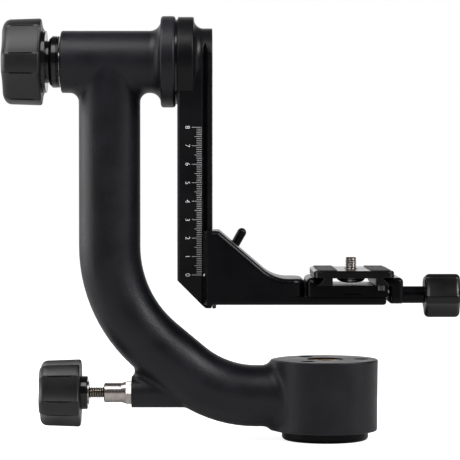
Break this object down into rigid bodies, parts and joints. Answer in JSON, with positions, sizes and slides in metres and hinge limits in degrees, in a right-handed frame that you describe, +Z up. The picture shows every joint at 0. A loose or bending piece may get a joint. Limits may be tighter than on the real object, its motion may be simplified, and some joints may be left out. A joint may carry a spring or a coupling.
{
  "type": "gimbal tripod head",
  "caption": "Side-mount gimbal head: J-shaped arm turning on a round base, hanging swing arm with tilt knob, sliding cradle bracket and quick-release plate clamp.",
  "frame": {"origin": "pan axis at the underside of the base, centre of the tripod thread's mouth", "axes": "+Z up along the pan axis, +X from the arm's upright tube towards the quick-release knob, -Y the front"},
  "size_m": [0.2503, 0.07, 0.2329],
  "materials": {
    "powder": "fine matte black powder coat",
    "anodised": "black satin anodised",
    "grip": "black satin rubber",
    "gloss": "polished black",
    "cap": "black satin",
    "steel": "turned steel",
    "stainless": "bright turned stainless steel",
    "blacksteel": "blackened steel",
    "bronze": "turned bronze",
    "washer": "white slide plastic",
    "pad": "ribbed dark grey rubber"
  },
  "bodies": {
    "pan_base": {"pan_base": "anodised", "pan_spindle": "steel", "spindle_screws": "stainless", "spindle_cap": "bronze", "cap_screw": "steel"},
    "arm": {"main_arm": "powder", "pan_housing": "anodised", "pan_bush_upper": "bronze", "pan_bush_lower": "bronze", "pan_thrust_washer": "washer", "hub_screws": "blacksteel", "tilt_bush_front": "bronze", "tilt_bush_rear": "bronze", "tilt_thrust_ring": "gloss", "tilt_friction_washer": "steel", "pan_lock_sleeve": "stainless"},
    "pan_lock_pusher": {"pan_push_rod": "steel", "pan_brake_shoe": "bronze"},
    "pan_lock_knob": {"pan_lock_screw": "stainless", "pan_knob_core": "gloss", "pan_knob_washer": "stainless", "pan_knob_grip": "grip", "pan_knob_cap": "cap"},
    "swing_arm": {"swing_arm": "anodised", "tilt_shaft": "steel", "shaft_bolt": "blacksteel", "height_stop_screw": "blacksteel"},
    "tilt_collar": {"tilt_collar": "gloss"},
    "tilt_knob": {"tilt_knob_core": "gloss", "tilt_knob_flange": "gloss", "tilt_knob_grip": "grip", "tilt_knob_cap": "cap"},
    "bracket": {"cradle_bracket": "anodised", "clamp_body": "anodised", "clamp_mount_screws": "stainless", "clamp_guide_pins": "steel", "qr_jaw_springs": "steel", "height_jaw_spring": "steel"},
    "height_jaw": {"height_clamp_jaw": "anodised"},
    "height_lever": {"height_lever": "anodised", "lever_screw": "stainless", "lever_cap": "cap"},
    "qr_jaw": {"qr_moving_jaw": "anodised"},
    "qr_knob": {"qr_knob": "grip", "qr_knob_sleeve": "anodised", "qr_screw": "stainless"},
    "qr_plate": {"qr_plate": "anodised", "plate_pads": "pad", "plate_stop_screws": "stainless"},
    "camera_screw": {"camera_screw": "stainless", "camera_washer": "steel"},
    "screw_bail": {"screw_bail": "stainless"}
  },
  "joints": [
    {"name": "pan", "type": "hinge", "parent": "pan_base", "child": "arm", "pos_m": [0, 0, 0.02], "axis": [0, 0, 1], "continuous": true},
    {"name": "pan_lock_press", "type": "slide", "parent": "arm", "child": "pan_lock_pusher", "axis": [1, 0, 0], "range_m": [-0.0025, 0.00034]},
    {"name": "pan_lock_turn", "type": "hinge", "parent": "pan_lock_pusher", "child": "pan_lock_knob", "pos_m": [-0.115, 0, 0.0258], "axis": [1, 0, 0], "range_deg": [-722, 101]},
    {"name": "tilt", "type": "hinge", "parent": "arm", "child": "swing_arm", "pos_m": [-0.115, 0, 0.2078], "axis": [1, 0, 0], "continuous": true},
    {"name": "tilt_lock_press", "type": "slide", "parent": "swing_arm", "child": "tilt_collar", "axis": [1, 0, 0], "range_m": [-0.0015, 0.00046]},
    {"name": "tilt_lock_turn", "type": "hinge", "parent": "tilt_collar", "child": "tilt_knob", "pos_m": [-0.16, 0, 0.2078], "axis": [1, 0, 0], "range_deg": [-362, 111]},
    {"name": "height", "type": "slide", "parent": "swing_arm", "child": "bracket", "axis": [0, 0, 1], "range_m": [0, 0.08]},
    {"name": "height_jaw_press", "type": "slide", "parent": "bracket", "child": "height_jaw", "axis": [0, 1, 0], "range_m": [-0.000104, 0.000624], "deforming": ["height_jaw_spring"]},
    {"name": "height_lever_turn", "type": "hinge", "parent": "height_jaw", "child": "height_lever", "pos_m": [-0.056, 0.02, 0.0954], "axis": [0, 1, 0], "range_deg": [-31, 181]},
    {"name": "qr_jaw_press", "type": "slide", "parent": "bracket", "child": "qr_jaw", "axis": [1, 0, 0], "range_m": [0, 0.004], "deforming": ["qr_jaw_springs"]},
    {"name": "qr_knob_turn", "type": "hinge", "parent": "qr_jaw", "child": "qr_knob", "pos_m": [0.06, 0, 0.0798], "axis": [1, 0, 0], "range_deg": [0, 1442]},
    {"name": "plate_slide", "type": "slide", "parent": "bracket", "child": "qr_plate", "axis": [0, 1, 0], "range_m": [-0.0035, 0.0035]},
    {"name": "camera_screw_turn", "type": "hinge", "parent": "qr_plate", "child": "camera_screw", "pos_m": [0.0141, 0, 0.0915], "axis": [0, 0, 1], "continuous": true},
    {"name": "screw_bail_fold", "type": "hinge", "parent": "camera_screw", "child": "screw_bail", "pos_m": [0.0141, 0, 0.0889], "axis": [1, 0, 0], "range_deg": [-13, 0]}
  ],
  "couplings": [
    {"joint": "pan_lock_turn", "follows": "pan_lock_press", "rad_per_m": 5026.5},
    {"joint": "tilt_lock_turn", "follows": "tilt_lock_press", "rad_per_m": 4188.8},
    {"joint": "height_lever_turn", "follows": "height_jaw_press", "rad_per_m": 5026.5},
    {"joint": "qr_knob_turn", "follows": "qr_jaw_press", "rad_per_m": 6283.2}
  ]
}
